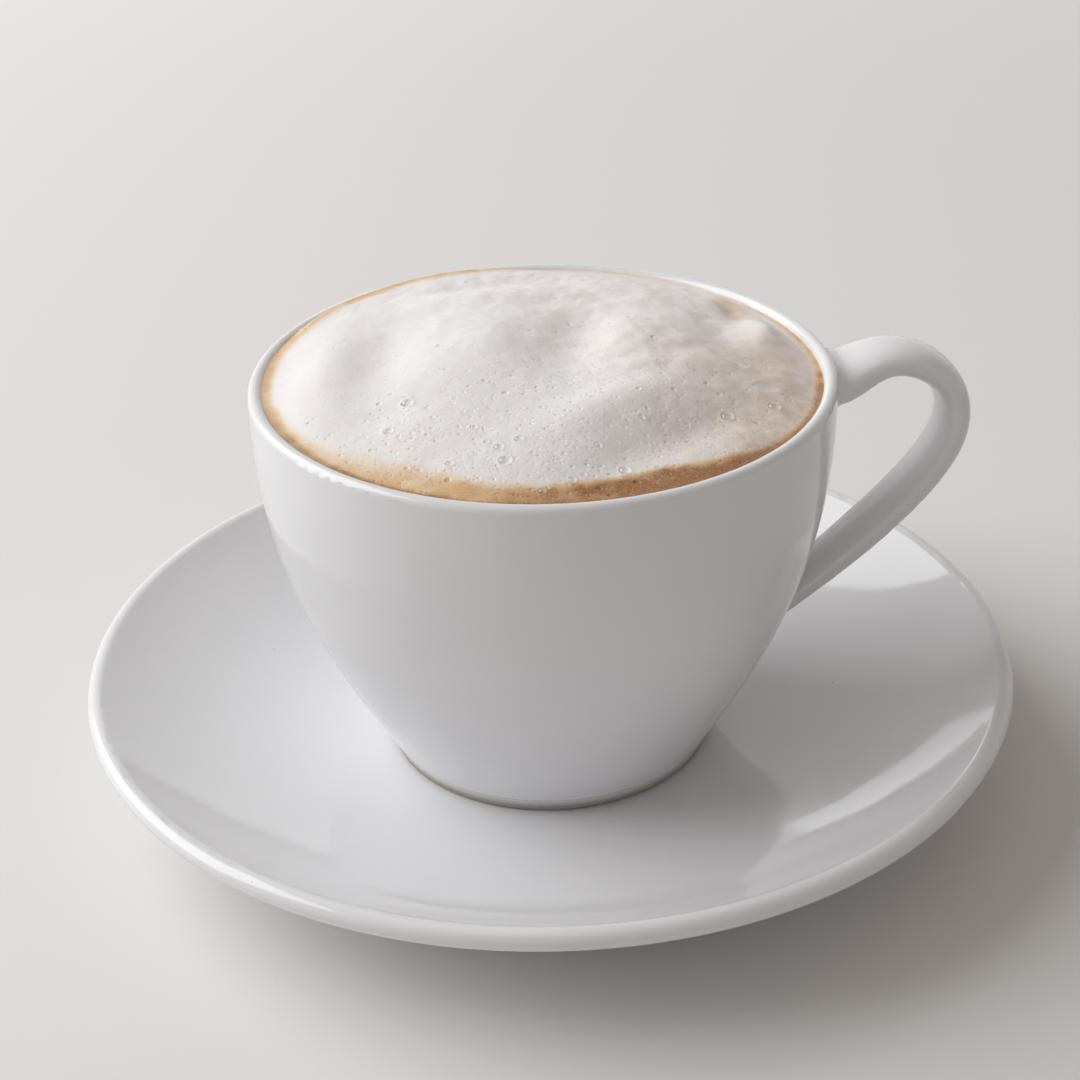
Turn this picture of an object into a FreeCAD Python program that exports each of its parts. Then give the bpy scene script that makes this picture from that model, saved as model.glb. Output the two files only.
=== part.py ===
import FreeCAD, Part
import math
import os

# Cup of cappuccino: a porcelain cup with its strap handle, filled with coffee
# under a domed cap of milk foam, standing on its saucer.
# Millimetres, +Z up. The origin is the middle of the saucer's underside, on the
# surface that the saucer stands on. The handle points along +X.

# Saucer
saucerRadius = 77.5
saucerWall = 3.4            # the lip is a full round of this thickness
saucerLipRise = 13.95       # middle of the lip above the flat well
saucerWellMargin = 2.8      # flat well left round the cup's foot
saucerFootHeight = 2.0
saucerFootRadius = 43.0     # outside of the foot ring
saucerFootWidth = 3.0
saucerFootRound = 0.7

# Cup
cupHeight = 66.1
cupRadius = 46.6            # outside, at the widest
cupWall = 2.3               # the lip is a full round of this thickness
cupUpright = 4.8            # straight stretch of the side under the lip
cupHeelOverhang = 0.7       # lower edge of the side, beyond the foot ring
cupHeelTilt = 28.5          # degrees from upright, where the side starts
cupHeelPull = 16.0          # how strongly the side keeps its tilt at the heel
cupShoulderPull = 27.9      # how strongly it keeps upright at the shoulder
cupHeelRound = 0.8
cupFloor = 3.2              # thickness of the floor
cupInnerRound = 9.0         # where the inside wall turns into the floor
cupFootHeight = 2.4
cupFootRadius = 27.2        # outside of the foot ring
cupFootWidth = 3.0
cupFootRound = 0.6
cupRecess = 1.8             # hollow under the floor, inside the foot ring

# Handle: a strap on a smooth loop, cut off in the middle of the cup's wall. Its
# control points stand this far out from the cup's widest radius, at this share
# of the height between its two roots.
handleHalfWidth = 5.2
handleHalfThickness = 2.55
handleSquareness = 2.4      # 2 is an oval, more is squarer
handleTopRootDrop = 4.5     # upper root, below the top of the lip
handleLowRootHeight = 14.6  # lower root, above the cup's foot
handleRootDepth = 2.2       # how far the strap runs in before it is cut off
handleTopSwell = 0.55       # share by which the strap swells at its upper root
handleTopSwellLength = 14.0 # stretch of the strap over which it swells
handleLowTaper = 0.27       # share by which it narrows at its lower root
handleLowTaperLength = 30.0 # stretch of the strap over which it narrows
handleSections = 21
handleSectionPoints = 24
handleLoop = [(1.2, 0.955), (8.1, 1.098), (20.7, 0.985), (22.6, 0.750), (14.0, 0.502), (2.5, 0.283)]

# Coffee and milk foam
coffeeBelowLip = 2.2        # level of the coffee, below the top of the lip
foamGap = 0.6               # least ring of coffee left bare at the wall
foamFrontGap = 3.2          # ring left bare where the coffee shows most
foamFrontDirection = 272.0  # degrees from the handle to that side
foamFrontSharpness = 2.0    # more keeps the wide ring to a shorter stretch
foamEdge = 1.0              # height of the foam's upright edge
foamDome = 5.6              # its crown above that edge
foamDomePower = 2.6         # more is flatter on top and steeper at the edge
foamOutlinePoints = 48
foamGridPoints = 31

# Swells and hollows of the foam: degrees from the handle, distance from the
# middle as a share of the foam's radius, half-width and height.
foamSwells = [
    (200.0, 0.72, 9.0, 1.2),
    (165.0, 0.42, 9.0, -1.4),
    (100.0, 0.30, 8.0, -1.2),
    (60.0, 0.55, 8.0, 0.8),
    (15.0, 0.62, 7.0, 0.9),
    (338.0, 0.45, 8.0, -1.2),
    (300.0, 0.60, 10.0, 0.7),
    (250.0, 0.55, 10.0, 0.8),
    (45.0, 0.84, 6.0, -0.8),
]

# Places that follow
saucerWellRadius = cupFootRadius + saucerWellMargin
cupBase = saucerFootHeight + saucerWall
cupTop = cupBase + cupHeight
cupInside = cupRadius - cupWall
cupHeelRadius = cupFootRadius + cupHeelOverhang
cupFloorTop = cupBase + cupRecess + cupFloor
coffeeLevel = cupTop - coffeeBelowLip
foamRadius = cupInside - foamGap


def point(radius, height):
    return FreeCAD.Vector(radius, 0, height)


def line(start, end):
    return Part.LineSegment(start, end).toShape()


def arc(centre, radius, fromDegrees, toDegrees):
    # Angles are measured from +X towards +Z.
    def at(degrees):
        angle = math.radians(degrees)
        return centre + radius * FreeCAD.Vector(math.cos(angle), 0, math.sin(angle))
    return Part.Arc(at(fromDegrees), at((fromDegrees + toDegrees) / 2), at(toDegrees)).toShape()


def revolve(edges):
    face = Part.Face(Part.Wire(edges))
    return face.revolve(FreeCAD.Vector(0, 0, 0), FreeCAD.Vector(0, 0, 1), 360)


def roundEdges(solid, radius, places):
    # Rounds the circular edges that lie at these radii and heights.
    def lies(edge, place):
        curve = edge.Curve
        if not isinstance(curve, Part.Circle):
            return False
        return abs(curve.Radius - place.x) < 1e-4 and abs(curve.Center.z - place.z) < 1e-4
    found = [edge for edge in solid.Edges if any(lies(edge, place) for place in places)]
    return solid.makeFillet(radius, found)


def footCorners(base, outer, width):
    # Lower edges of a foot ring.
    return [point(outer, base), point(outer - width, base)]


def makeSaucer():
    wellTop = saucerFootHeight + saucerWall
    lipRound = saucerWall / 2
    lip = point(saucerRadius - lipRound, wellTop + saucerLipRise)
    # The side is an arc that leaves the flat well smoothly and ends on the lip.
    reach = lip.x - saucerWellRadius
    sideRadius = (reach ** 2 + saucerLipRise ** 2 - lipRound ** 2) / (2 * (saucerLipRise + lipRound))
    centre = point(saucerWellRadius, wellTop + sideRadius)
    outward = lip - centre
    tilt = math.degrees(math.atan2(outward.z, outward.x))
    underRadius = sideRadius + saucerWall
    footInner = saucerFootRadius - saucerFootWidth

    def underside(radius):
        return centre.z - math.sqrt(underRadius ** 2 - (radius - centre.x) ** 2)

    plate = revolve([
        line(point(0, saucerFootHeight), point(saucerWellRadius, saucerFootHeight)),
        arc(centre, underRadius, -90, tilt),
        arc(lip, lipRound, tilt, tilt + 180),
        arc(centre, sideRadius, tilt, -90),
        line(point(saucerWellRadius, wellTop), point(0, wellTop)),
        line(point(0, wellTop), point(0, saucerFootHeight)),
    ])
    sink = saucerWall / 2
    ring = revolve([
        line(point(footInner, 0), point(saucerFootRadius, 0)),
        line(point(saucerFootRadius, 0), point(saucerFootRadius, underside(saucerFootRadius) + sink)),
        line(point(saucerFootRadius, underside(saucerFootRadius) + sink),
             point(footInner, underside(footInner) + sink)),
        line(point(footInner, underside(footInner) + sink), point(footInner, 0)),
    ])
    ring = roundEdges(ring, saucerFootRound, footCorners(0, saucerFootRadius, saucerFootWidth))
    return plate.fuse(ring).removeSplitter()


def cupSide(inset):
    # The side's curve from heel to shoulder, moved in from the outside by inset.
    tilt = math.radians(cupHeelTilt)
    along = FreeCAD.Vector(math.sin(tilt), 0, math.cos(tilt))
    inward = FreeCAD.Vector(-math.cos(tilt), 0, math.sin(tilt))
    heel = point(cupHeelRadius, cupBase + cupFootHeight) + inset * inward
    shoulder = point(cupRadius - inset, cupTop - cupUpright)
    pull = point(0, cupShoulderPull)
    curve = Part.BezierCurve()
    curve.setPoles([heel, heel + cupHeelPull * along, shoulder - pull, shoulder])
    return curve


def insideSide():
    # The inside wall, cut off where it meets the floor.
    curve = cupSide(cupWall)
    floorLine = Part.LineSegment(point(0, cupFloorTop), point(cupRadius, cupFloorTop))
    meeting = point(curve.intersect(floorLine)[0].X, cupFloorTop)
    return curve.toShape(curve.parameter(meeting), 1.0), meeting


def makeCavity():
    side, meeting = insideSide()
    shoulder = point(cupInside, cupTop - cupUpright)
    cavity = revolve([
        line(point(0, cupFloorTop), meeting),
        side,
        line(shoulder, point(cupInside, cupTop)),
        line(point(cupInside, cupTop), point(0, cupTop)),
        line(point(0, cupTop), point(0, cupFloorTop)),
    ])
    return roundEdges(cavity, cupInnerRound, [meeting])


def makeBowl():
    side, meeting = insideSide()
    outside = cupSide(0)
    heel = outside.StartPoint
    lipRound = cupWall / 2
    lip = point(cupRadius - lipRound, cupTop - lipRound)
    recess = cupBase + cupRecess
    footInner = cupFootRadius - cupFootWidth
    bowl = revolve([
        line(point(0, recess), point(footInner, recess)),
        line(point(footInner, recess), point(footInner, cupBase)),
        line(point(footInner, cupBase), point(cupFootRadius, cupBase)),
        line(point(cupFootRadius, cupBase), point(cupFootRadius, heel.z)),
        line(point(cupFootRadius, heel.z), heel),
        outside.toShape(),
        line(outside.EndPoint, point(cupRadius, lip.z)),
        arc(lip, lipRound, 0, 180),
        line(point(cupInside, lip.z), point(cupInside, outside.EndPoint.z)),
        side,
        line(meeting, point(0, cupFloorTop)),
        line(point(0, cupFloorTop), point(0, recess)),
    ])
    bowl = roundEdges(bowl, cupInnerRound, [meeting])
    bowl = roundEdges(bowl, cupHeelRound, [heel])
    return roundEdges(bowl, cupFootRound, footCorners(cupBase, cupFootRadius, cupFootWidth))


def outsideRadius(height):
    # Outside of the bowl at a height between heel and shoulder.
    side = cupSide(0)
    level = Part.LineSegment(point(0, height), point(2 * cupRadius, height))
    crossings = side.intersect(level)
    return crossings[0].X if crossings else cupRadius


def handleCurve():
    lowHeight = cupBase + handleLowRootHeight
    topHeight = cupTop - handleTopRootDrop
    rise = topHeight - lowHeight
    top = point(outsideRadius(topHeight) - handleRootDepth, topHeight)
    low = point(outsideRadius(lowHeight) - handleRootDepth, lowHeight)
    loop = [point(cupRadius + out, lowHeight + share * rise) for out, share in handleLoop]
    poles = [top] + loop + [low]
    spans = len(poles) - 3
    curve = Part.BSplineCurve()
    multiplicities = [4] + [1] * (spans - 1) + [4]
    curve.buildFromPolesMultsKnots(poles, multiplicities, [k / spans for k in range(spans + 1)], False, 3)
    return curve


def handleSection(curve, share):
    length = curve.length()
    parameter = curve.parameterAtDistance(share * length, curve.FirstParameter)
    middle = curve.value(parameter)
    forward = curve.tangent(parameter)[0]
    across = FreeCAD.Vector(0, 1, 0)
    outward = across.cross(forward)
    toTop = max(0, 1 - share * length / handleTopSwellLength)
    toLow = max(0, 1 - (1 - share) * length / handleLowTaperLength)
    swell = 1 + handleTopSwell * toTop ** 1.5 - handleLowTaper * toLow ** 1.5
    power = 2 / handleSquareness
    points = []
    for k in range(handleSectionPoints):
        angle = 2 * math.pi * k / handleSectionPoints
        side = math.copysign(abs(math.cos(angle)) ** power, math.cos(angle))
        face = math.copysign(abs(math.sin(angle)) ** power, math.sin(angle))
        offset = across * (side * handleHalfWidth) + outward * (face * handleHalfThickness)
        points.append(middle + offset * swell)
    ring = Part.BSplineCurve()
    ring.interpolate(Points=points, PeriodicFlag=True)
    return Part.Wire(ring.toShape())


def makeHandle():
    curve = handleCurve()
    rings = [handleSection(curve, k / (handleSections - 1)) for k in range(handleSections)]
    strap = Part.makeLoft(rings, True, False, False)
    # The core fills the cup out to the middle of its wall.
    side = cupSide(cupWall / 2)
    rim = point(side.EndPoint.x, cupTop)
    core = revolve([
        line(point(0, side.StartPoint.z), side.StartPoint),
        side.toShape(),
        line(side.EndPoint, rim),
        line(rim, point(0, cupTop)),
        line(point(0, cupTop), point(0, side.StartPoint.z)),
    ])
    return strap.cut(core)


def makeCoffee():
    slab = Part.makeCylinder(2 * cupRadius, coffeeLevel)
    return makeCavity().common(slab)


def foamOutline(direction):
    # Radius of the foam in this direction: it stands back where the coffee shows.
    turn = math.radians(direction - foamFrontDirection)
    front = ((1 + math.cos(turn)) / 2) ** foamFrontSharpness
    return foamRadius - (foamFrontGap - foamGap) * front


def foamHeight(x, y):
    share = math.hypot(x, y) / foamRadius
    height = coffeeLevel + foamEdge + foamDome * (1 - share ** foamDomePower)
    for direction, distance, width, swell in foamSwells:
        angle = math.radians(direction)
        away = math.hypot(x - distance * foamRadius * math.cos(angle),
                          y - distance * foamRadius * math.sin(angle))
        height += swell * math.exp(-(away / width) ** 2)
    return height


def makeFoam():
    half = foamRadius + foamGap
    step = 2 * half / (foamGridPoints - 1)
    places = [step * k - half for k in range(foamGridPoints)]
    top = Part.BSplineSurface()
    top.interpolate([[FreeCAD.Vector(x, y, foamHeight(x, y)) for y in places] for x in places])
    # The column passes the highest swell, and the mass under the top surface
    # reaches past the coffee's level at its lowest corner.
    tall = 3 * (foamEdge + foamDome)
    mass = top.toShape().extrude(FreeCAD.Vector(0, 0, -2 * tall))
    outline = Part.BSplineCurve()
    turns = [360 * k / foamOutlinePoints for k in range(foamOutlinePoints)]
    rim = [FreeCAD.Vector(foamOutline(turn) * math.cos(math.radians(turn)),
                          foamOutline(turn) * math.sin(math.radians(turn)),
                          coffeeLevel) for turn in turns]
    outline.interpolate(Points=rim, PeriodicFlag=True)
    column = Part.Face(Part.Wire(outline.toShape())).extrude(FreeCAD.Vector(0, 0, tall))
    return column.common(mass)


def writeNode(name, shape):
    solids = shape.Solids
    assert len(solids) == 1, name + " is not one solid"
    solids[0].exportStep("parts/" + name + ".step")
    print(name, "faces", len(shape.Faces), "volume", round(shape.Volume), "valid", shape.isValid())


os.makedirs("parts", exist_ok=True)
writeNode("saucer", makeSaucer())
writeNode("cup", makeBowl().fuse(makeHandle()).removeSplitter())
writeNode("coffee", makeCoffee())
writeNode("milk_foam", makeFoam())
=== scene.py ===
import math

import bpy
import numpy as np
from mathutils import Matrix, Vector
from mathutils.bvhtree import BVHTree
from mathutils.geometry import delaunay_2d_cdt


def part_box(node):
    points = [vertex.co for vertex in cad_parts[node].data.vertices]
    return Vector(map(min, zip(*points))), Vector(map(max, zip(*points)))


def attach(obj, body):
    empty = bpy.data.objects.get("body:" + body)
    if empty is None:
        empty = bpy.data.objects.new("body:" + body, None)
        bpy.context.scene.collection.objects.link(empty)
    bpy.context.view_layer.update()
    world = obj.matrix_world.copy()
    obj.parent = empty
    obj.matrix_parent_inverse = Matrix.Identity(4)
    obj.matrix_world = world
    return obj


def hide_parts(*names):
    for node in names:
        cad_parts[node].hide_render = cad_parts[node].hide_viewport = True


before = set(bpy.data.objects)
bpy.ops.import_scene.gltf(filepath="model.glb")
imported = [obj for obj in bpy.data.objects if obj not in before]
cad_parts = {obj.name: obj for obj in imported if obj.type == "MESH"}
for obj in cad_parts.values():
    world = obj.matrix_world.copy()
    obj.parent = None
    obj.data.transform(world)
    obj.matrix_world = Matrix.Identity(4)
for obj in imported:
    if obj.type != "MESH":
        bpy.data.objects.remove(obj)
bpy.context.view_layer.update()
mm = 0.001
print("frame loaded")


# shader helpers

class Wire:
    # one shader socket that can stand in an expression; its sums become Math nodes
    def __init__(self, finish, socket):
        self.finish = finish
        self.socket = socket

    def __add__(self, other):
        return self.finish.maths("ADD", self, other)

    def __sub__(self, other):
        return self.finish.maths("SUBTRACT", self, other)

    def __rsub__(self, other):
        return self.finish.maths("SUBTRACT", other, self)

    def __mul__(self, other):
        return self.finish.maths("MULTIPLY", self, other)

    __radd__ = __add__
    __rmul__ = __mul__


class Finish:
    # the nodes of one material, or of the world if that is given
    def __init__(self, name, world=None):
        self.material = world or bpy.data.materials.new(name)
        self.material.use_nodes = True
        self.tree = self.material.node_tree
        self.tree.nodes.clear()

    def add(self, kind, settings=None, values=None, output=0):
        node = self.tree.nodes.new(kind)
        for name, value in (settings or {}).items():
            setattr(node, name, value)
        for name, value in (values or {}).items():
            if isinstance(value, Wire):
                self.tree.links.new(value.socket, node.inputs[name])
            else:
                node.inputs[name].default_value = value
        return Wire(self, node.outputs[output]) if len(node.outputs) else None

    def maths(self, operation, first, second):
        return self.add("ShaderNodeMath", {"operation": operation}, {0: first, 1: second})

    def seen(self):
        # 1 where the surface itself is looked at, straight, mirrored or through glass
        straight, glass, mirrored = (self.add("ShaderNodeLightPath", output=f"Is {kind} Ray")
                                     for kind in ("Camera", "Transmission", "Glossy"))
        return self.maths("MAXIMUM", self.maths("MAXIMUM", straight, glass), mirrored)

    def objectPlace(self, offset=(0, 0, 0)):
        place = self.add("ShaderNodeTexCoord", output="Object")
        return self.add("ShaderNodeMapping", {}, {"Vector": place, "Location": offset})

    def noise(self, place, cellMm, detail=2.0, rough=0.5):
        values = {"Vector": place, "Scale": 1000 / cellMm, "Detail": detail, "Roughness": rough}
        return self.add("ShaderNodeTexNoise", {}, values)

    def cells(self, place, cellMm):
        return self.add("ShaderNodeTexVoronoi", {}, {"Vector": place, "Scale": 1000 / cellMm}, "Distance")

    def between(self, value, low, high, toLow=0.0, toHigh=1.0):
        values = {"Value": value, 1: low, 2: high, 3: toLow, 4: toHigh}
        return self.add("ShaderNodeMapRange", {"interpolation_type": "SMOOTHSTEP"}, values)

    def mix(self, share, first, second, blend="MIX"):
        settings = {"data_type": "RGBA", "blend_type": blend}
        return self.add("ShaderNodeMix", settings, {0: share, 6: first, 7: second}, 2)

    def bump(self, height, strength, distanceMm, normal=None):
        values = {"Height": height, "Strength": strength, "Distance": distanceMm * mm}
        if normal is not None:
            values["Normal"] = normal
        return self.add("ShaderNodeBump", {}, values)

    def surface(self, values):
        self.show(self.add("ShaderNodeBsdfPrincipled", {}, values))

    def show(self, shader):
        self.add("ShaderNodeOutputMaterial", {}, {"Surface": shader})


def dress(piece, finish):
    # every face of the piece takes this finish
    piece.data.materials.clear()
    piece.data.materials.append(finish.material)


def newPiece(name, points, faces, finish):
    mesh = bpy.data.meshes.new(name)
    mesh.from_pydata([tuple(p) for p in points], [], faces)
    mesh.update()
    mesh.polygons.foreach_set("use_smooth", [True] * len(mesh.polygons))
    piece = bpy.data.objects.new(name, mesh)
    bpy.context.scene.collection.objects.link(piece)
    dress(piece, finish)
    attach(piece, "root")
    return piece


# camera, floor and light

view = {
    "aim": (-0.00105, 0.00014, 0.0408),
    "azimuth": -7.4,
    "elevation": 28.96,
    "distance": 0.3463,
    "roll": -1.44,
    "lens": 69.7,
    "sensorWidth": 36,
    "nearest": 0.01,
}


def makeCamera():
    azimuth = math.radians(view["azimuth"])
    elevation = math.radians(view["elevation"])
    back = Vector((
        math.sin(azimuth) * math.cos(elevation),
        -math.cos(azimuth) * math.cos(elevation),
        math.sin(elevation),
    ))
    data = bpy.data.cameras.new("camera")
    data.lens = view["lens"]
    data.sensor_width = view["sensorWidth"]
    data.clip_start = view["nearest"]
    camera = bpy.data.objects.new("camera", data)
    bpy.context.scene.collection.objects.link(camera)
    turn = back.to_track_quat("Z", "Y").to_matrix() @ Matrix.Rotation(math.radians(view["roll"]), 3, "Z")
    camera.matrix_world = Matrix.Translation(Vector(view["aim"]) + back * view["distance"]) @ turn.to_4x4()
    bpy.context.scene.camera = camera


studio = {
    "floorColour": (0.83, 0.825, 0.815, 1),
    "floorShade": (0.78, 0.775, 0.765, 1),
    "floorShadeShare": 0.04,
    "floorGrainMm": 40,
    "floorGloss": 0.7,
    "floorShine": 0.2,
    "floorSize": 6.0,
    "floorFade": (0.30, 1.5),  # from here to there it runs into the white background, m
    "worldLight": 0.24,
    "worldColour": (1.0, 0.885, 0.80, 1),
    # name: place, aim, size, watts, colour
    "lamps": {
        "windowLeft": ((-1.40, 0.58, 1.12), (0, 0, 0.04), (2.1, 1.75), 41.0, (0.98, 0.99, 1.0)),
        "windowBack": ((-0.02, 1.9, 0.28), (0, 0, 0.03), (0.34, 0.28), 0.36, (0.97, 0.985, 1.0)),
        "softAbove": ((-0.2, -0.5, 2.0), (0, 0, 0.05), (1.4, 1.4), 2.4, (1.0, 0.99, 0.98)),
    },
}


def makeStudio():
    bpy.context.scene.view_settings.view_transform = "Standard"
    half = studio["floorSize"] / 2
    corners = [(-half, -half, 0), (half, -half, 0), (half, half, 0), (-half, half, 0)]
    mesh = bpy.data.meshes.new("floor")
    mesh.from_pydata(corners, [], [(0, 1, 2, 3)])
    floor = bpy.data.objects.new("floor", mesh)
    bpy.context.scene.collection.objects.link(floor)
    paint = Finish("floorPaint")
    place = paint.objectPlace()
    shade = paint.noise(place, studio["floorGrainMm"]) * studio["floorShadeShare"]
    near = paint.add("ShaderNodeBsdfPrincipled", {}, {
        "Base Color": paint.mix(shade, studio["floorColour"], studio["floorShade"]),
        "Roughness": studio["floorGloss"],
        "Specular IOR Level": studio["floorShine"],
    })
    away = paint.add("ShaderNodeVectorMath", {"operation": "LENGTH"}, {0: place}, "Value")
    far = paint.add("ShaderNodeEmission", {}, {"Color": (1, 1, 1, 1), "Strength": 1.0})
    share = paint.between(away, *studio["floorFade"]) * paint.seen()
    paint.show(paint.add("ShaderNodeMixShader", {}, {0: share, 1: near, 2: far}))
    floor.data.materials.append(paint.material)

    world = bpy.data.worlds.new("studio")
    bpy.context.scene.world = world
    sky = Finish("sky", world)
    seen = sky.seen()
    sky.add("ShaderNodeOutputWorld", {}, {"Surface": sky.add("ShaderNodeBackground", {}, {
        "Color": sky.mix(seen, studio["worldColour"], (1, 1, 1, 1)),
        "Strength": studio["worldLight"] + seen * (1 - studio["worldLight"]),
    })})

    for name, (place, aim, size, watts, colour) in studio["lamps"].items():
        data = bpy.data.lights.new(name, "AREA")
        data.shape = "RECTANGLE"
        data.size = size[0]
        data.size_y = size[1]
        data.energy = watts
        data.color = colour
        lamp = bpy.data.objects.new(name, data)
        lamp.location = place
        lamp.rotation_mode = "QUATERNION"
        lamp.rotation_quaternion = (Vector(place) - Vector(aim)).to_track_quat("Z", "Y")
        bpy.context.scene.collection.objects.link(lamp)


makeCamera()
makeStudio()
print("camera, floor and light made")


# porcelain

glaze = {
    "white": (0.80, 0.803, 0.822, 1),
    "pooled": (0.765, 0.772, 0.796, 1),  # where the glaze lies thicker
    "cloudMm": 22,
    "cloudShare": 0.45,
    "speck": (0.45, 0.40, 0.34, 1),  # a pinhole here and there
    "speckMm": 3.2,
    "speckSize": (0.05, 0.075),
    "speckPatchMm": 5.0,
    "speckWhere": (0.66, 0.70),
    "speckShare": 0.6,
    "gloss": 0.07,
    "streakMm": 14,
    "streakGloss": 0.025,
    "bareGloss": 0.5,
    "clayMm": 0.6,
    "clayDepthMm": 0.05,
    "waveMm": 9,
    "waveDepthMm": 0.05,
    "ior": 1.52,
}


def makeGlaze(name, bareFrom, bareTo, clayAndShadeColour, offset):
    # bare clay below the first height, glaze above the second, mm; on the cup the dark clay colour and its
    # soft fade upwards are also painted shade under the heel
    finish = Finish(name)
    place = finish.objectPlace(offset)
    cloud = finish.between(finish.noise(place, glaze["cloudMm"]), 0.35, 0.7)
    colour = finish.mix(cloud * glaze["cloudShare"], glaze["white"], glaze["pooled"])
    speck = finish.between(finish.cells(place, glaze["speckMm"]), *glaze["speckSize"], 1, 0)
    speck = speck * finish.between(finish.noise(place, glaze["speckPatchMm"]), *glaze["speckWhere"])
    colour = finish.mix(speck * glaze["speckShare"], colour, glaze["speck"])
    height = finish.add("ShaderNodeSeparateXYZ", {}, {0: finish.add("ShaderNodeNewGeometry")}, "Z")
    bare = finish.between(height, bareFrom * mm, bareTo * mm, 1, 0)
    clay = finish.noise(place, glaze["clayMm"], 1)
    colour = finish.mix(bare * (0.75 + clay * 0.3), colour, clayAndShadeColour)
    streak = finish.between(finish.noise(place, glaze["streakMm"], 1), 0.4, 0.65)
    gloss = glaze["gloss"] + streak * glaze["streakGloss"] + bare * glaze["bareGloss"]
    wave = finish.bump(finish.noise(place, glaze["waveMm"], 1), 0.5, glaze["waveDepthMm"])
    grit = finish.bump(clay * bare, 0.6, glaze["clayDepthMm"], wave)
    finish.surface({
        "Base Color": colour,
        "Roughness": gloss,
        "IOR": glaze["ior"],
        "Normal": grit,
    })
    return finish


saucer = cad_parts["saucer"]
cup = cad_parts["cup"]
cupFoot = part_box("cup")[0].z / mm
saucerGlaze = makeGlaze("saucerGlaze", 0.15, 0.5, (0.74, 0.71, 0.65, 1), (0.31, 0.12, 0.05))
# the cup's foot: part bare clay, part painted shade, darkest at the bottom and fading up into the glaze
cupGlaze = makeGlaze("cupGlaze", cupFoot + 0.5, cupFoot + 2.3, (0.27, 0.24, 0.18, 1), (0, 0, 0))
dress(saucer, saucerGlaze)
dress(cup, cupGlaze)
print("porcelain glazed")


blend = {
    "upperRadius": 2.2,  # soft corner between the strap and the cup, mm
    "lowerRadius": 2.0,
    "sink": 0.015,
    "around": 96,
    "across": 10,
    "split": 40,  # height between the two roots, mm
    "farther": 25,  # the roots lie farther out, nearer the middle and higher than this
    "halfWidth": 9,
    "higher": 12,
    "crease": 0.93,  # the two surfaces turn at least this much there
    "upright": 0.5,
    "softening": (1, 2, 3, 2, 1),
}


def rootCorners():
    # where strap and cup meet: place, and the two surface directions there
    mesh = cup.data
    found = {}
    for polygon in mesh.polygons:
        for corner in polygon.loop_indices:
            place = mesh.vertices[mesh.loops[corner].vertex_index].co
            key = tuple(round(c / mm, 3) for c in place)
            if key[0] < blend["farther"] or abs(key[1]) > blend["halfWidth"] or key[2] < blend["higher"]:
                continue
            found.setdefault(key, []).append(mesh.corner_normals[corner].vector.copy())
    corners = []
    for key, directions in found.items():
        outward = Vector((key[0], key[1], 0)).normalized()
        onCup = max(directions, key=lambda d: d.dot(outward))
        onStrap = min(directions, key=lambda d: d.dot(onCup))
        if onStrap.dot(onCup) < blend["crease"] and onCup.dot(outward) > blend["upright"]:
            corners.append((Vector(key), onStrap, onCup))
    return corners


def closedLoop(corners, count):
    # the corner points in order round the strap, spread evenly
    middle = sum((c[0] for c in corners), Vector()) / len(corners)
    ordered = sorted(corners, key=lambda c: math.atan2(c[0].z - middle.z, c[0].y - middle.y))
    rows = np.array([[*place, *strap, *wall] for place, strap, wall in ordered])
    rows = np.vstack([rows, rows[:1]])
    steps = np.linalg.norm(np.diff(rows[:, :3], axis=0), axis=1)
    length = np.concatenate([[0], np.cumsum(steps)])
    wanted = np.linspace(0, length[-1], count, endpoint=False)
    loop = np.column_stack([np.interp(wanted, length, rows[:, k]) for k in range(9)])
    shares = np.array(blend["softening"]) / sum(blend["softening"])
    soft = sum(share * np.roll(loop, k - len(shares) // 2, axis=0) for k, share in enumerate(shares))
    soft[:, :3] = loop[:, :3]
    return soft


def makeBlend(name, corners, radius):
    places = [vertex.co / mm for vertex in cup.data.vertices]
    surface = BVHTree.FromPolygons(places, [tuple(polygon.vertices) for polygon in cup.data.polygons])
    loop = closedLoop(corners, blend["around"])
    points = []
    normals = []
    for step in range(blend["around"]):
        place = Vector(loop[step, :3])
        onStrap = Vector(loop[step, 3:6]).normalized()
        onCup = Vector(loop[step, 6:9]).normalized()
        along = (Vector(loop[(step + 1) % blend["around"], :3]) - Vector(loop[step - 1, :3])).normalized()
        upStrap = onStrap.cross(along).normalized()
        upStrap = upStrap if upStrap.dot(onCup) > 0 else -upStrap
        downCup = onCup.cross(along).normalized()
        downCup = downCup if downCup.dot(onStrap) > 0 else -downCup
        first = surface.find_nearest(place + upStrap * radius)[0] - onStrap * blend["sink"]
        last = surface.find_nearest(place + downCup * radius)[0] - onCup * blend["sink"]
        for stepAcross in range(blend["across"] + 1):
            t = stepAcross / blend["across"]
            points.append((first * (1 - t) ** 2 + place * 2 * t * (1 - t) + last * t ** 2) * mm)
            tangent = ((place - first) * (1 - t) + (last - place) * t).normalized()
            facing = onStrap * (1 - t) + onCup * t
            normals.append((facing - tangent * facing.dot(tangent)).normalized())
    row = blend["across"] + 1
    faces = []
    for step in range(blend["around"]):
        after = (step + 1) % blend["around"]
        for k in range(blend["across"]):
            face = (step * row + k, step * row + k + 1, after * row + k + 1, after * row + k)
            a, b, c = (points[i] for i in face[:3])
            if (b - a).cross(c - a).dot(normals[face[0]]) < 0:
                face = face[::-1]
            faces.append(face)
    piece = newPiece(name, points, faces, cupGlaze)
    piece.data.normals_split_custom_set_from_vertices(normals)
    return piece


corners = rootCorners()
upperCorners = [c for c in corners if c[0].z > blend["split"]]
lowerCorners = [c for c in corners if c[0].z <= blend["split"]]
makeBlend("handleBlendUpper", upperCorners, blend["upperRadius"])
makeBlend("handleBlendLower", lowerCorners, blend["lowerRadius"])
print("handle blended into the cup:", len(upperCorners), len(lowerCorners), "corner points")


# coffee under the foam

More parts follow.
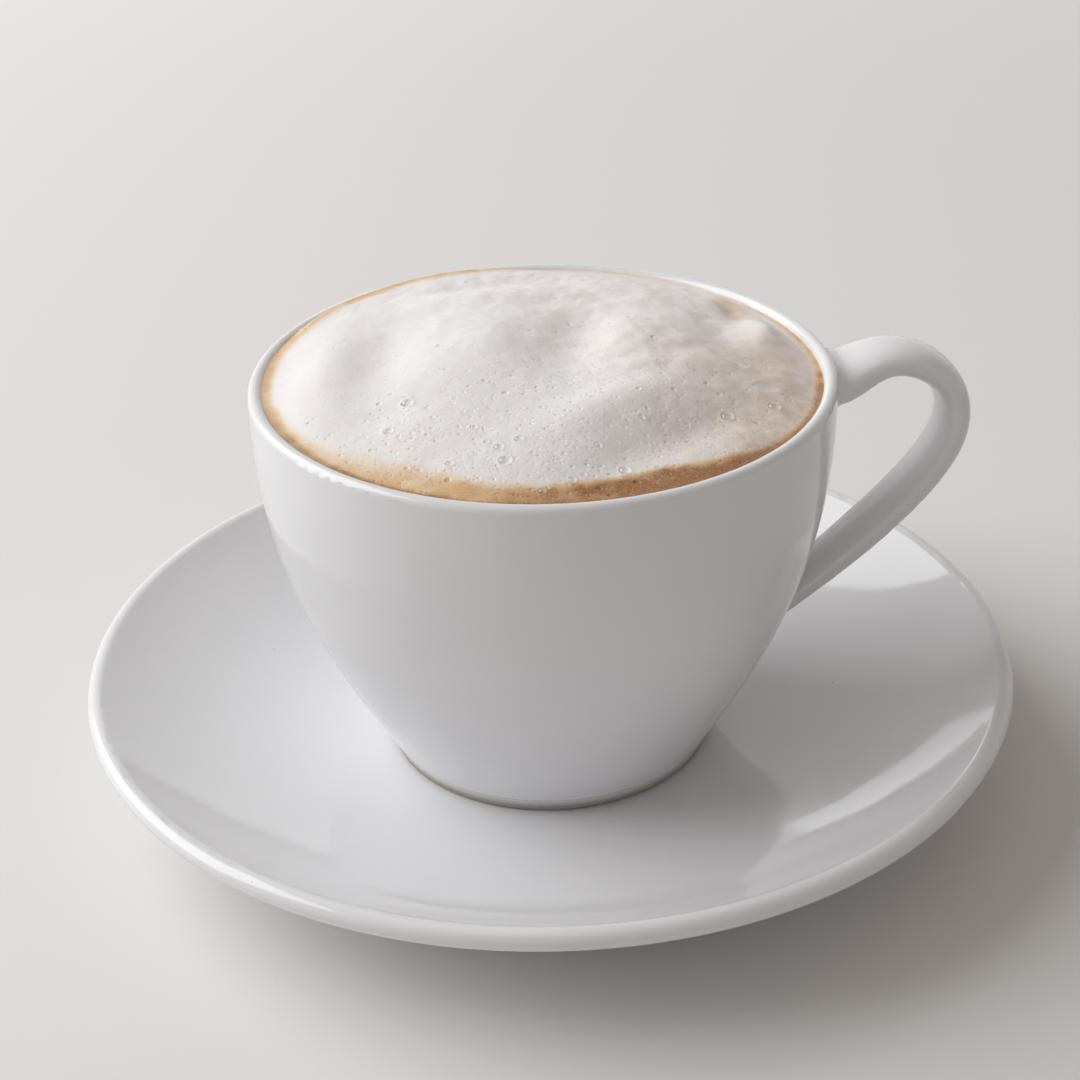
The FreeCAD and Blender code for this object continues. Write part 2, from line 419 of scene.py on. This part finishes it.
drink = {
    "dark": (0.075, 0.032, 0.014, 1),
    "light": (0.17, 0.085, 0.042, 1),
    "swirlMm": 11,
    "oilMm": 2.5,
    "oilDepthMm": 0.02,
    "gloss": 0.06,
    "oilGloss": 0.05,
    "ior": 1.34,
}


def makeDrink():
    finish = Finish("coffeeWithMilk")
    place = finish.objectPlace()
    swirl = finish.noise(place, drink["swirlMm"], 3, 0.55)
    colour = finish.mix(finish.between(swirl, 0.35, 0.7), drink["dark"], drink["light"])
    oil = finish.noise(place, drink["oilMm"], 2)
    finish.surface({
        "Base Color": colour,
        "Roughness": drink["gloss"] + oil * drink["oilGloss"],
        "IOR": drink["ior"],
        "Normal": finish.bump(oil, 0.3, drink["oilDepthMm"]),
    })
    return finish


dress(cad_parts["coffee"], makeDrink())
print("coffee coloured")


# milk foam and crema: lengths in mm, degrees from the handle over the back of the cup

foam = {
    "seed": 11,
    "insideRadius": 44.3,  # inner wall of the cup near its lip
    "wallReach": 0.2,  # how far the surface runs into the wall
    "lip": 71.5,
    "lipRound": 1.15,
    "below": 1.2,  # how far under the lip it meets the wall, and how much that changes round the cup
    "belowChange": 0.65,
    "highSide": 135.0,
    "crown": 75.4,
    "fullness": 2.5,
    "floor": 68.8,
    "spacing": 0.46,
    "shoulder": (88, 152, 16, 1.75),  # stands over the lip at the back: from, to, ease (degrees), height
    "shoulderFront": 1.5,  # how far in it reaches its height, and how far it eases back
    "shoulderBack": 8.0,
    # width of the brown ring from the wall inwards: degrees, mm
    "cremaWidth": (
        (0, 1), (25, 0.8), (72, 0.9), (95, 3), (140, 3.4), (160, 1.8), (185, 1.5), (205, 2.8),
        (220, 5.2), (234, 6.3), (247, 5.8), (262, 6), (276, 7), (290, 6.9), (303, 4.3), (315, 2.2),
        (327, 1.5), (348, 1.3), (360, 1),
    ),
    # how soft its inner edge is: degrees, share of the width
    "cremaFade": (
        (0, 0.9), (190, 0.8), (215, 0.9), (235, 0.65), (250, 0.4), (290, 0.38), (305, 0.6), (320, 0.9),
        (360, 0.9),
    ),
    # its ragged edge: share, size, seed, octaves
    "cremaRagged": ((0.7, 6.0, 71, 3), (0.3, 1.3, 75, 2)),
    "cremaRaggedShare": 0.16,
    "cremaRaggedMost": 0.7,
    # how brown it is: degrees, share
    "cremaDepth": (
        (0, 0.45), (18, 0.38), (34, 0.16), (78, 0.14), (95, 0.42), (150, 0.42), (185, 0.32), (210, 0.3),
        (228, 0.4), (245, 0.6), (260, 0.8), (272, 1.12), (285, 1.3), (300, 1.35), (316, 1.2),
        (332, 0.95), (345, 1.1), (352, 0.7), (360, 0.45),
    ),
    # broad swells and hollows: x, y, half length, half width, turn, height
    "swells": (
        (-34, 3, 15, 5.0, 80, 1.1),
        (-24, 5, 14, 5.2, 78, -0.95),
        (-16, -1, 18, 8.0, 76, 0.65),
        (-8, 3, 14, 5.4, 77, 0.75),
        (6.5, 4, 14, 5.4, 76, -1.8),
        (15, 6, 12, 6.0, 80, 0.35),
        (21, 9, 12, 5.0, 85, 0.4),
        (30, 8, 11, 4.0, 80, -1.0),
        (38, 7, 6.0, 3.0, 80, 1.45),
        (26.5, -6, 3.8, 3.0, 0, 0.7),
        (15, -8, 5.0, 2.6, 15, 0.5),
        (34, -4, 5.0, 4.0, 40, -0.6),
        (10, -18.5, 15, 4.8, 30, 1.2),
        (16, -28, 15, 4.2, 31, -1.45),
        (22, -35.5, 12, 2.8, 32, 0.45),
        (35, 19, 6.5, 2.4, 80, -0.9),
        (-27, -16, 4.0, 3.5, 0, -0.4),
        (-12, 24, 10, 4.0, 12, 0.4),
        (-4, 32, 12, 3.0, 5, -0.45),
        (14, 27, 10, 4.0, -8, 0.35),
        (5, 21, 4.0, 3.0, 0, -0.35),
    ),
    # small hills over the swells: size, seed, height, share on the smooth side, more on the rough one
    "hills": ((7.0, 31, 0.20, 0.35, 0.65), (2.6, 41, 0.085, 0.45, 0.8)),
    "ripples": (0.9, 51, 0.02),
    "edgeRound": 0.05,  # how softly the dome ends, in radii
    "climb": (0.16, 0.35),  # how high and how far in the foam clings to the wall, mm
    # colours from the milk to the wet edge, and the share of brown at which each one stands
    "white": (0.90, 0.875, 0.870),
    "cream": (0.89, 0.79, 0.67),
    "tan": (0.75, 0.51, 0.285),
    "brown": (0.34, 0.158, 0.052),
    "shadeSteps": (0, 0.12, 0.42, 1.0),
    "darkerFrom": 3.6,  # the brown darkens towards the wall from here to there, mm, by these shares
    "darkerTo": 0.4,
    "darkerShares": (0.82, 0.3),
    "wetLine": (0.36, 0.7),  # share and width of the wet line at the wall
    "wetLineIn": (0.4, 1.3),  # how far in it starts, and how much farther with each mm under the lip
    "paintedShadeTint": (0.62, 0.50, 0.39),  # warm colour of the painted shade on the right and front right, also of the patch on the far right
    # a warm patch in the hollows on the far right
    "farRightPatch": (35.3, 20, 2.8, 7.0, 0.72),  # x, y, half width, half length, share
    # painted shade: how strongly the warm tint lies over the front right, and over the whole right side
    "paintedShadeFrontRight": 0.58,
    "paintedShadeRight": 0.09,
    # pits of bubbles: how many, smallest and largest radius, rings, sides
    "bubbles": (
        (20, 0.36, 0.60, (0.35, 0.62, 0.82, 0.94, 1.06, 1.25), 20),
        (260, 0.21, 0.36, (0.5, 0.8, 0.98, 1.25), 12),
        (1500, 0.10, 0.20, (0.7, 1.22), 7),
    ),
    "bubbleReach": 43.6,  # none farther out than this, mm
    "crowdEdge": (9, 0.25, 5.5),  # they crowd this far in front of the middle, farther at the sides; ease
    "crowdPatch": (6.5, 91),  # size and seed of the patches where they lie closer
    "bubbleDepth": (0.16, 0.34),  # least depth and what chance adds to it, in radii
    "filmDepth": 0.42,
    "filmSides": 26,
    "bubbleGap": 1.12,  # least distance between two, in radii
    "pitPaintedShade": (0.06, 0.12),  # painted shade in the pits: how much darker a pit is on the milk, and what brown adds to it
    # finish: clouds, fine froth in two sizes, and grains in the brown ring with painted glints on them
    "cloudMm": 3.4,
    "cloudColour": (0.93, 0.915, 0.905, 1),
    "cloudShare": 0.22,
    "frothMm": 0.26,
    "finestMm": 0.14,
    "frothPatchMm": 4.0,
    "frothColour": (0.80, 0.76, 0.72, 1),
    "frothShare": 0.6,
    "grainMm": 0.35,
    "glintColour": (0.95, 0.87, 0.75, 1),
    "glintShare": 0.2,
    "grainDepthMm": 0.10,
    "frothDepthMm": 0.08,
    "finestDepthMm": 0.04,
    "gloss": 0.5,
    "frothGloss": 0.18,
    "cloudGloss": 0.06,
    "ior": 1.36,
    "softness": 0.35,  # light that goes through the foam
    "softColour": (1.0, 0.85, 0.7),
    "softReach": 0.0012,
    # clear bubbles with a film over them: x, y, radius
    "films": ((-22.5, -13.5, 0.95), (-10.5, -28.7, 0.75), (-10.0, -32.0, 0.95), (-7.4, -27.6, 0.7),
              (-26.0, -20.0, 0.8), (7.0, -35.0, 0.9), (-1.0, -37.0, 0.6), (0.8, -36.0, 0.5),
              (-5.6, -39.0, 0.55), (33.0, -19.0, 0.95), (25.0, -22.0, 1.0), (-13.5, -23.0, 0.55),
              (4.0, -30.0, 0.55), (11.5, -24.0, 0.5), (-18.0, -30.5, 0.6), (-3.0, -20.0, 0.45),
              (-12.2, -27.0, 0.5), (-6.0, -31.2, 0.45)),
}


def smoothStep(value, low, high):
    share = np.clip((value - low) / (high - low), 0, 1)
    return share * share * (3 - 2 * share)


def lattice(x, y, size, seed):
    # soft random hills between -1 and 1, one to each cell of this size
    grid = np.random.default_rng(seed).uniform(-1, 1, (512, 512))
    u = x / size + 200
    v = y / size + 200
    column = np.floor(u).astype(int)
    row = np.floor(v).astype(int)
    fu = u - column
    fv = v - row
    fu = fu * fu * (3 - 2 * fu)
    fv = fv * fv * (3 - 2 * fv)
    low = grid[row % 512, column % 512] * (1 - fu) + grid[row % 512, (column + 1) % 512] * fu
    high = grid[(row + 1) % 512, column % 512] * (1 - fu) + grid[(row + 1) % 512, (column + 1) % 512] * fu
    return low * (1 - fv) + high * fv


def rough(x, y, size, seed, octaves=3):
    total = 0
    for step in range(octaves):
        turn = 0.9 * step
        u = x * math.cos(turn) - y * math.sin(turn)
        v = x * math.sin(turn) + y * math.cos(turn)
        total = total + lattice(u, v, size / 2 ** step, seed + step) / 2 ** step
    return total


def roundTheCup(pairs, x, y):
    # a value that changes with the direction, eased between the given ones
    degrees = np.degrees(np.arctan2(y, x)) % 360
    return np.interp(degrees, [p[0] for p in pairs], [p[1] for p in pairs])


def wallLevel(x, y):
    turn = np.arctan2(y, x) - math.radians(foam["highSide"])
    return foam["lip"] - foam["below"] + foam["belowChange"] * np.cos(turn)


def wallRadius(height):
    # inner face of the wall, which leans out over the rounding of the lip
    rise = np.clip(height - foam["lip"] + foam["lipRound"], 0, foam["lipRound"])
    return foam["insideRadius"] + foam["lipRound"] - np.sqrt(foam["lipRound"] ** 2 - rise ** 2)


def cremaShare(x, y):
    # 0 on the milk, 1 well inside the brown ring
    away = np.hypot(x, y)
    width = roundTheCup(foam["cremaWidth"], x, y)
    fade = roundTheCup(foam["cremaFade"], x, y) * width
    ragged = 0
    for part, size, seed, octaves in foam["cremaRagged"]:
        ragged = ragged + part * rough(x, y, size, seed, octaves)
    most = np.minimum(width * foam["cremaRaggedShare"], foam["cremaRaggedMost"])
    edge = foam["insideRadius"] - width + ragged * most
    return smoothStep(away - edge, -0.45 * fade, 0.65 * fade)


def foamHeight(x, y):
    away = np.hypot(x, y)
    width = roundTheCup(foam["cremaWidth"], x, y)
    edge = foam["insideRadius"] + 0.1 - 0.5 * (width - 0.5)
    share = away / edge
    soft = foam["edgeRound"]
    within = np.clip(0.5 + 0.5 * (1 - share) / soft, 0, 1)
    share = share * within + (1 - within) - soft * within * (1 - within)
    share = np.clip(share, 0, 1)
    level = wallLevel(x, y)
    height = level + (foam["crown"] - level) * (1 - share ** foam["fullness"])
    swell = 0
    for cx, cy, length, breadth, turn, rise in foam["swells"]:
        cosine = math.cos(math.radians(turn))
        sine = math.sin(math.radians(turn))
        along = (x - cx) * cosine + (y - cy) * sine
        across = (y - cy) * cosine - (x - cx) * sine
        swell = swell + rise * np.exp(-(along / length) ** 2 - (across / breadth) ** 2)
    inside = foam["insideRadius"] - away
    first, last, ease, rise = foam["shoulder"]
    degrees = np.degrees(np.arctan2(y, x))
    back = smoothStep(degrees, first - ease, first + ease) * smoothStep(degrees, last + ease, last - ease)
    behind = np.exp(-np.maximum(inside - foam["shoulderFront"], 0) / foam["shoulderBack"])
    height = height + rise * back * smoothStep(inside, -0.15, foam["shoulderFront"]) * behind
    inward = smoothStep(inside, 0.3, 5.0)
    height = height + swell * inward
    bumpy = smoothStep(x + 0.8 * y, -30, 30)
    for size, seed, rise, least, more in foam["hills"]:
        height = height + rise * rough(x, y, size, seed) * inward * (least + more * bumpy)
    size, seed, rise = foam["ripples"]
    height = height + rise * rough(x, y, size, seed, 2)
    rise, reach = foam["climb"]
    return height + rise * np.exp(-(foam["insideRadius"] - np.minimum(away, foam["insideRadius"])) / reach)


def placeBubbles():
    # x, y, radius, rings, sides, depth share; crowded towards the front, none over another
    chance = np.random.default_rng(foam["seed"])
    front, bend, ease = foam["crowdEdge"]
    patchSize, patchSeed = foam["crowdPatch"]
    rings = foam["bubbles"][0][3]
    placed = [(x, y, radius, rings, foam["filmSides"], foam["filmDepth"]) for x, y, radius in foam["films"]]
    near = {}

    def cell(x, y):
        return int(x // 2.4), int(y // 2.4)

    for index, item in enumerate(placed):
        near.setdefault(cell(item[0], item[1]), []).append(index)
    for count, small, large, rings, sides in foam["bubbles"]:
        made = 0
        while made < count:
            away = foam["bubbleReach"] * math.sqrt(chance.random())
            turn = chance.random() * 2 * math.pi
            x = away * math.cos(turn)
            y = away * math.sin(turn)
            crowd = 0.05 + 0.95 / (1 + math.exp((y + front + bend * abs(x)) / ease))
            patch = float(smoothStep(lattice(np.array(x), np.array(y), patchSize, patchSeed), -0.4, 0.5))
            crowd = crowd * (0.45 + 0.55 * patch)
            if chance.random() > crowd:
                continue
            radius = small + (large - small) * chance.random() ** 2.2
            column, row = cell(x, y)
            free = away + radius * 1.4 < foam["insideRadius"]
            for dx in (-1, 0, 1):
                for dy in (-1, 0, 1):
                    for other in near.get((column + dx, row + dy), []):
                        ox, oy, reach = placed[other][:3]
                        if math.hypot(x - ox, y - oy) < (radius + reach) * foam["bubbleGap"]:
                            free = False
            if not free:
                continue
            near.setdefault((column, row), []).append(len(placed))
            depth = foam["bubbleDepth"][0] + foam["bubbleDepth"][1] * chance.random()
            placed.append((x, y, radius, rings, sides, depth))
            made += 1
    return placed


def makeFoamMesh(bubbles):
    chance = np.random.default_rng(foam["seed"] + 1)
    outer = foam["insideRadius"] + foam["wallReach"]
    spacing = foam["spacing"]
    # an even, slightly shaken net of points
    rows = np.arange(-outer, outer, spacing * 0.866)
    net = []
    for index, y in enumerate(rows):
        xs = np.arange(-outer + (index % 2) * spacing / 2, outer, spacing)
        net.append(np.column_stack([xs, np.full(len(xs), y)]))
    net = np.vstack(net)
    net = net + chance.uniform(-0.12, 0.12, net.shape) * spacing
    net = net[np.hypot(net[:, 0], net[:, 1]) < outer - 0.3]
    # clear the net round each bubble
    taken = np.zeros(len(net), bool)
    order = np.argsort(net[:, 0])
    sortedX = net[order, 0]
    for x, y, radius, rings, sides, depth in bubbles:
        reach = radius * rings[-1] + 0.12
        first, last = np.searchsorted(sortedX, (x - reach, x + reach))
        near = order[first:last]
        taken[near[np.hypot(net[near, 0] - x, net[near, 1] - y) < reach]] = True
    flat = [net[~taken]]
    lift = [np.zeros(len(flat[0]))]
    pit = [np.zeros(len(flat[0]))]
    for x, y, radius, rings, sides, depth in bubbles:
        for step, share in enumerate((0.0,) + tuple(rings)):
            count = 1 if share == 0 else max(5, int(round(sides * min(1, share + 0.25))))
            turns = (np.arange(count) + 0.5 * (step % 2)) * 2 * math.pi / count
            reach = radius * share
            flat.append(np.column_stack([x + reach * np.cos(turns), y + reach * np.sin(turns)]))
            inside = max(0.0, 1 - share * share)
            rim = math.exp(-((share - 1.08) / 0.16) ** 2)
            lift.append(np.full(count, radius * (0.10 * rim - depth * math.sqrt(inside))))
            pit.append(np.full(count, min(1.0, 1.25 * inside)))
    # rings along the wall
    for away, count in ((outer - 0.28, 640), (outer - 0.14, 640), (outer, 640)):
        turns = (np.arange(count) + 0.5 * (count % 3)) * 2 * math.pi / count
        flat.append(np.column_stack([away * np.cos(turns), away * np.sin(turns)]))
        lift.append(np.zeros(count))
        pit.append(np.zeros(count))
    flat = np.vstack(flat)
    lift = np.concatenate(lift)
    pit = np.concatenate(pit)
    made = delaunay_2d_cdt([Vector(p) for p in flat], [], [], 0, 1e-7)
    triangles = np.array(made[2], int)
    source = np.array([ids[0] for ids in made[3]], int)
    flat = flat[source]
    lift = lift[source]
    pit = pit[source]
    x = flat[:, 0]
    y = flat[:, 1]
    z = foamHeight(x, y) + lift
    away = np.hypot(x, y)
    stretch = (wallRadius(z) - foam["insideRadius"]) * smoothStep(away, outer - 1.6, outer - 0.1)
    x = x * (1 + stretch / np.maximum(away, 1))
    y = y * (1 + stretch / np.maximum(away, 1))
    # turn every face up
    a, b, c = (flat[triangles[:, k]] for k in range(3))
    turned = (b[:, 0] - a[:, 0]) * (c[:, 1] - a[:, 1]) - (b[:, 1] - a[:, 1]) * (c[:, 0] - a[:, 0]) < 0
    triangles[turned] = triangles[turned][:, ::-1]
    # close it below: a short side down the wall and a flat underside
    rim = np.where(away > outer - 0.01)[0]
    rim = rim[np.argsort(np.arctan2(y[rim], x[rim]))]
    base = len(x)
    x = np.append(x, x[rim])
    y = np.append(y, y[rim])
    z = np.append(z, np.full(len(rim), foam["floor"]))
    faces = [tuple(int(i) for i in t) for t in triangles]
    for step in range(len(rim)):
        after = (step + 1) % len(rim)
        faces.append((int(rim[after]), int(rim[step]), base + step, base + after))
    faces.append(tuple(base + step for step in reversed(range(len(rim)))))
    pit = np.append(pit, np.zeros(len(rim)))
    return x, y, np.column_stack([x, y, z]) * mm, pit, faces


def foamColours(x, y, pit):
    away = np.hypot(x, y)
    share = cremaShare(x, y)
    width = roundTheCup(foam["cremaWidth"], x, y)
    depth = roundTheCup(foam["cremaDepth"], x, y)
    wall = smoothStep(away - foam["insideRadius"], -foam["darkerFrom"], -foam["darkerTo"])
    least, more = foam["darkerShares"]
    strength = share * (least + more * wall) * depth
    # a darker line where coffee wets the edge, as far in as the lip lets it be seen
    more, reach = foam["wetLine"]
    least, lower = foam["wetLineIn"]
    start = foam["insideRadius"] - least - lower * (foam["lip"] - wallLevel(x, y))
    strength = strength + more * smoothStep(away, start, start + reach) * share * smoothStep(width, 1.6, 3.0)
    strength = np.clip(strength * (1 + 0.25 * rough(x, y, 2.2, 81)), 0, 1)
    # painted shade: a warm darker tint over the right and the front right, where less light falls, and a
    # warm patch in the hollows on the far right
    cx, cy, wide, long, much = foam["farRightPatch"]
    bare = much * smoothStep(np.exp(-((x - cx) / wide) ** 2 - ((y - cy) / long) ** 2), 0.12, 0.75)
    bare = bare + foam["paintedShadeFrontRight"] * smoothStep(x + 0.35 * np.abs(y + 14), 8, 42) * smoothStep(y, 12, -8)
    bare = bare + foam["paintedShadeRight"] * smoothStep(x + 0.4 * y, -12, 24)
    bare = np.clip(bare * (1 + 0.3 * rough(x, y, 1.8, 85)) * (1 - 0.9 * share), 0, 1)
    shades = [foam[name] for name in ("white", "cream", "tan", "brown")]
    least, more = foam["pitPaintedShade"]
    colour = np.ones((len(x), 4))
    for channel in range(3):
        painted = np.interp(strength, foam["shadeSteps"], [shade[channel] for shade in shades])
        painted = painted + bare * (foam["paintedShadeTint"][channel] - painted)
        # inside the pits the colour is darkened: painted shade
        colour[:, channel] = painted * (1 - pit * (least + more * strength))
    return colour


def makeFoamFinish():
    finish = Finish("milkFoam")
    place = finish.objectPlace()
    painted = finish.add("ShaderNodeVertexColor", {"layer_name": "foamColour"})
    fine = finish.between(finish.cells(place, foam["frothMm"]), 0.12, 0.34, 1, 0)
    finest = finish.between(finish.cells(place, foam["finestMm"]), 0.10, 0.36, 1, 0)
    patch = finish.between(finish.noise(place, foam["frothPatchMm"], 2), 0.40, 0.62)
    brownness = finish.between(finish.add("ShaderNodeSeparateColor", {}, {0: painted}, "Blue"), 0.75, 0.45)
    froth = fine * (patch + brownness - patch * brownness)
    cloud = finish.between(finish.noise(place, foam["cloudMm"], 2, 0.6), 0.3, 0.7)
    clouded = finish.mix(1.0, painted, foam["cloudColour"], "MULTIPLY")
    colour = finish.mix(cloud * foam["cloudShare"], painted, clouded)
    frothy = finish.mix(1.0, colour, foam["frothColour"], "MULTIPLY")
    colour = finish.mix(froth * foam["frothShare"], colour, frothy)
    grain = finish.noise(place, foam["grainMm"], 2, 0.6)
    # painted glints: pale grains over the brown ring
    glint = finish.between(grain, 0.52, 0.68) * brownness
    colour = finish.mix(glint * foam["glintShare"], colour, foam["glintColour"])
    relief = finish.bump(grain, 0.5, foam["grainDepthMm"])
    relief = finish.bump(froth, -0.6, foam["frothDepthMm"], relief)
    relief = finish.bump(finest, -0.35, foam["finestDepthMm"], relief)
    finish.surface({
        "Base Color": colour,
        "Roughness": foam["gloss"] - froth * foam["frothGloss"] - cloud * foam["cloudGloss"],
        "IOR": foam["ior"],
        "Subsurface Weight": foam["softness"],
        "Subsurface Radius": foam["softColour"],
        "Subsurface Scale": foam["softReach"],
        "Normal": relief,
    })
    return finish


bubbles = placeBubbles()
x, y, points, pit, faces = makeFoamMesh(bubbles)
milkFoam = newPiece("milkFoam", points, faces, makeFoamFinish())
paint = milkFoam.data.color_attributes.new("foamColour", "FLOAT_COLOR", "POINT")
paint.data.foreach_set("color", foamColours(x, y, pit).ravel())
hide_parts("milk_foam")
print("foam made:", len(bubbles), "bubbles,", len(milkFoam.data.polygons), "faces")


film = {
    "rise": 0.62,  # height of the dome, in radii
    "spread": 1.04,
    "rings": 7,
    "sides": 20,
    "least": 0.25,  # smallest bubble that keeps its film, mm
    "kept": 0.4,
    "colour": (0.93, 0.925, 0.92, 1),
    "gloss": 0.05,
    "mirrorLeast": 0.09,  # how much it mirrors when faced, and at its edge
    "mirrorMost": 0.5,
}


def makeFilmFinish():
    finish = Finish("bubbleFilm")
    facing = finish.add("ShaderNodeLayerWeight", {}, {"Blend": 0.5}, "Facing")
    share = finish.between(facing, 0.3, 1.0, film["mirrorLeast"], film["mirrorMost"])
    gloss = finish.add("ShaderNodeBsdfPrincipled", {}, {
        "Base Color": film["colour"],
        "Metallic": 1.0,
        "Roughness": film["gloss"],
    })
    clear = finish.add("ShaderNodeBsdfTransparent")
    finish.show(finish.add("ShaderNodeMixShader", {}, {0: share, 1: clear, 2: gloss}))
    return finish


def makeFilms(bubbles):
    chance = np.random.default_rng(foam["seed"] + 5)
    named = len(foam["films"])
    chosen = bubbles[:named]
    chosen = chosen + [b for b in bubbles[named:] if b[2] > film["least"] and chance.random() < film["kept"]]
    points = []
    faces = []
    for x, y, radius, rings, sides, depth in chosen:
        base = float(foamHeight(np.array([x]), np.array([y]))[0])
        start = len(points)
        points.append((x * mm, y * mm, (base + radius * film["rise"]) * mm))
        for ring in range(1, film["rings"] + 1):
            lean = ring / film["rings"] * math.pi / 2
            away = radius * film["spread"] * math.sin(lean)
            height = base + radius * film["rise"] * math.cos(lean)
            for side in range(film["sides"]):
                turn = 2 * math.pi * side / film["sides"]
                place = (x + away * math.cos(turn), y + away * math.sin(turn), height)
                points.append([c * mm for c in place])
        for side in range(film["sides"]):
            after = (side + 1) % film["sides"]
            faces.append((start, start + 1 + side, start + 1 + after))
            for ring in range(film["rings"] - 1):
                inner = start + 1 + ring * film["sides"]
                outer = inner + film["sides"]
                faces.append((inner + side, outer + side, outer + after, inner + after))
    return newPiece("foamBubbles", points, faces, makeFilmFinish()), len(chosen)


foamBubbles, filmCount = makeFilms(bubbles)
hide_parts("milk_foam")
print("bubble films made:", filmCount)


# end

print("done")
